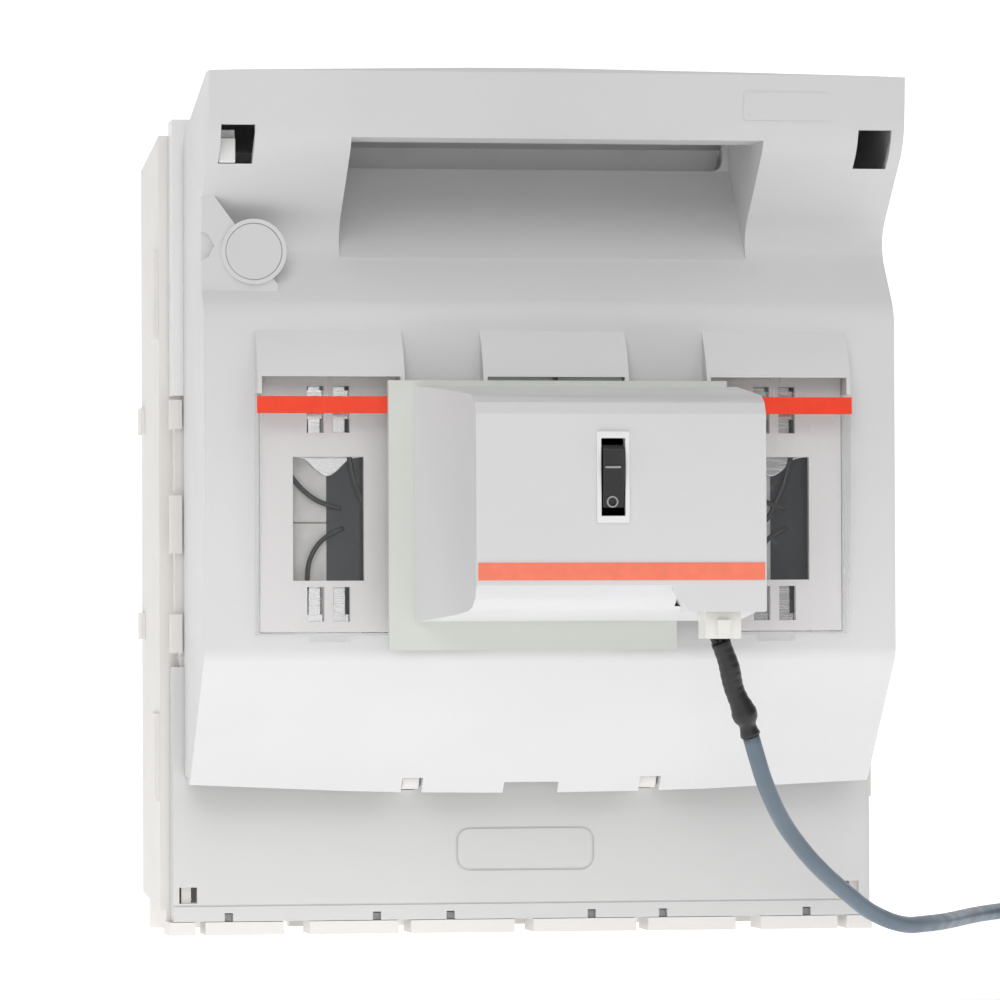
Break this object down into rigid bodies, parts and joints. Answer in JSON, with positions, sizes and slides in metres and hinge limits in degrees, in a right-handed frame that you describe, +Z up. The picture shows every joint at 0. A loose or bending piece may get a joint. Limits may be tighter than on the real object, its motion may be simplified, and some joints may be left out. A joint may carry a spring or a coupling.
{
  "type": "fuse switch disconnector",
  "caption": "Panel-mounted fuse-switch-disconnector: hinged lid that carries the blade fuses, terminals behind covers, and a clip-on fuse monitor with rocker switch and signal cable.",
  "frame": {"origin": "under the middle of the object without its lead, at the level the housing's feet stand on", "axes": "+X to the right seen from the front, -Y towards the front, +Z up; +Y is the wall side"},
  "size_m": [0.4202, 0.2494, 0.3072],
  "materials": {
    "housing_plastic": "light warm grey moulded polyamide, satin",
    "cover_upper_plastic": "white moulded plastic, satin",
    "cover_lower_plastic": "light grey moulded plastic, satin",
    "lid_plastic": "light grey moulded polyamide, satin",
    "window_clear": "clear polycarbonate, gloss",
    "orange_band": "printed orange band",
    "plug_plastic": "light grey plastic",
    "slider_plastic": "white plastic",
    "carrier_plastic": "pinkish light grey plastic",
    "ceramic": "fired steatite, smooth",
    "cap_metal": "bare metal",
    "blade_metal": "silver-plated copper, brushed",
    "indicator_red": "red plastic",
    "monitor_plate_plastic": "pale greenish grey plastic",
    "monitor_plastic": "light grey plastic, satin",
    "monitor_band_orange": "printed light orange band",
    "bezel_white": "white plastic",
    "switch_black": "black plastic",
    "rocker_black": "black plastic, semi-gloss",
    "board_green": "printed circuit board with its parts",
    "connector_white": "white nylon",
    "wire_black": "black insulated wire",
    "plug_white": "white nylon",
    "sleeve_black": "black heat-shrink",
    "cable_jacket": "slate grey jacket, satin",
    "tie_black": "black nylon",
    "core_insulation": "brown insulation",
    "ferrule_tin": "tinned copper",
    "terminal_metal": "tin-plated copper, brushed",
    "jaw_metal": "silver-plated copper",
    "spring_steel": "spring steel",
    "bolt_steel": "zinc-plated steel",
    "pin_steel": "plain steel"
  },
  "bodies": {
    "base": {"base_housing": "housing_plastic", "upper_terminal_cover": "cover_upper_plastic", "lower_terminal_cover": "cover_lower_plastic", "upper_terminal_left": "terminal_metal", "upper_terminal_centre": "terminal_metal", "upper_terminal_right": "terminal_metal", "lower_terminal_left": "terminal_metal", "lower_terminal_centre": "terminal_metal", "lower_terminal_right": "terminal_metal", "upper_jaws_left": "jaw_metal", "upper_jaws_centre": "jaw_metal", "upper_jaws_right": "jaw_metal", "lower_jaws_left": "jaw_metal", "lower_jaws_centre": "jaw_metal", "lower_jaws_right": "jaw_metal", "upper_jaw_springs": "spring_steel", "lower_jaw_springs": "spring_steel", "terminal_bolts": "bolt_steel", "terminal_washers": "bolt_steel", "terminal_nuts": "bolt_steel", "terminal_screws": "bolt_steel", "cord_run": "cable_jacket", "cord_coil": "cable_jacket", "coil_tie": "tie_black", "lead_cores": "core_insulation", "core_ferrules": "ferrule_tin"},
    "lid": {"lid_shell": "lid_plastic", "hinge_pins": "pin_steel", "window_left": "window_clear", "window_right": "window_clear", "window_band_left": "orange_band", "window_band_right": "orange_band", "blanking_plug": "plug_plastic", "seal_slider": "slider_plastic", "fuse_carrier_left": "carrier_plastic", "fuse_carrier_centre": "carrier_plastic", "fuse_carrier_right": "carrier_plastic", "fuse_body_left": "ceramic", "fuse_body_centre": "ceramic", "fuse_body_right": "ceramic", "fuse_end_caps_left": "cap_metal", "fuse_end_caps_centre": "cap_metal", "fuse_end_caps_right": "cap_metal", "fuse_blades_left": "blade_metal", "fuse_blades_centre": "blade_metal", "fuse_blades_right": "blade_metal", "fuse_indicators": "indicator_red", "monitor_base_plate": "monitor_plate_plastic", "monitor_housing": "monitor_plastic", "monitor_band": "monitor_band_orange", "switch_bezel": "bezel_white", "switch_body": "switch_black", "monitor_board": "board_green", "connector_socket": "connector_white", "sense_wires": "wire_black", "cable_plug": "plug_white", "heat_shrink_sleeve": "sleeve_black"},
    "rocker": {"switch_rocker": "rocker_black"}
  },
  "joints": [
    {"name": "lid_hinge", "type": "hinge", "parent": "base", "child": "lid", "pos_m": [0, 0.01975, 0.058], "axis": [1, 0, 0], "range_deg": [0, 40], "deforming": ["cord_run"]},
    {"name": "rocker_pivot", "type": "hinge", "parent": "lid", "child": "rocker", "pos_m": [0.01025, -0.09125, 0.16225], "axis": [1, 0, 0], "range_deg": [-14, 0]}
  ]
}
